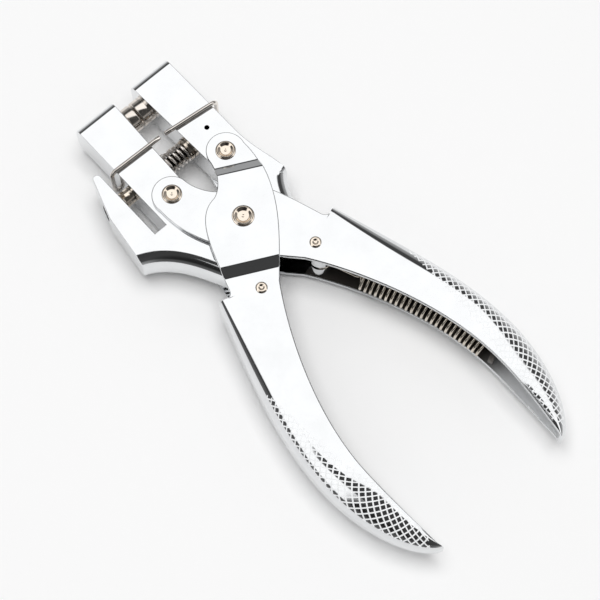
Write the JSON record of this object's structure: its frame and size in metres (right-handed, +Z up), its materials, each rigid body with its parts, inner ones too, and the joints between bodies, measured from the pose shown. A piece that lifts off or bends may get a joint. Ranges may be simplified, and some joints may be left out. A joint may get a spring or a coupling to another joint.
{
  "type": "snap setter pliers",
  "caption": "Parallel-jaw setting pliers with crossed channel-section handles, facing dies in the jaws, wire stops and two springs; squeezing the grips presses the dies together.",
  "frame": {"origin": "centre of the flat rim of the lower centre rivet head, which the tool rests on", "axes": "+X from the left jaw to the right jaw, +Y towards the jaw tips, +Z up along the rivets"},
  "size_m": [0.0752, 0.1666, 0.0202],
  "materials": {
    "chromed_sheet": "bright plated pressed steel sheet, knurled on the grips",
    "chromed_jaw": "bright plated solid steel",
    "nickel_rivet": "warm nickel plate",
    "die_steel": "turned and plated steel",
    "spring_wire": "drawn spring wire"
  },
  "bodies": {
    "left_handle": {"left_handle": "chromed_sheet", "centre_rivet": "nickel_rivet", "centre_spacer": "nickel_rivet", "right_jaw_rivet": "nickel_rivet", "left_tail_pin": "nickel_rivet"},
    "right_handle": {"right_handle": "chromed_sheet", "left_jaw_rivet": "nickel_rivet", "right_tail_pin": "nickel_rivet", "return_spring": "spring_wire", "spring_anchor": "chromed_sheet"},
    "right_jaw": {"right_jaw": "chromed_jaw", "right_die": "die_steel", "right_die_post": "die_steel", "right_stop_wire": "spring_wire", "spring_hook_pin": "nickel_rivet"},
    "left_jaw": {"left_jaw": "chromed_jaw", "left_die": "die_steel", "left_stop_wire": "spring_wire", "guide_bolt": "nickel_rivet", "jaw_spring": "spring_wire"},
    "spring_cap": {"spring_cap": "nickel_rivet"}
  },
  "joints": [
    {"name": "handle_hinge", "type": "hinge", "parent": "left_handle", "child": "right_handle", "pos_m": [0, 0, 0.0101], "axis": [0, 0, 1], "range_deg": [-1, 20], "stiffness_Nm_per_rad": 0.6, "springref_deg": 20.05, "deforming": ["jaw_spring", "return_spring"]},
    {"name": "right_jaw_pivot", "type": "hinge", "parent": "left_handle", "child": "right_jaw", "pos_m": [0.0107, 0.02013, 0.0101], "axis": [0, 0, 1], "range_deg": [-0.5, 10]},
    {"name": "left_jaw_pivot", "type": "hinge", "parent": "right_handle", "child": "left_jaw", "pos_m": [-0.0107, 0.02013, 0.0101], "axis": [0, 0, 1], "range_deg": [-10, 0.5]},
    {"name": "spring_cap_slide", "type": "slide", "parent": "left_jaw", "child": "spring_cap", "axis": [1, 0, 0], "range_m": [-0.0004, 0.0067]}
  ],
  "couplings": [
    {"joint": "right_jaw_pivot", "follows": "handle_hinge", "ratio": 0.5},
    {"joint": "left_jaw_pivot", "follows": "handle_hinge", "ratio": -0.5},
    {"joint": "spring_cap_slide", "follows": "handle_hinge", "m_per_rad": 0.019098}
  ]
}
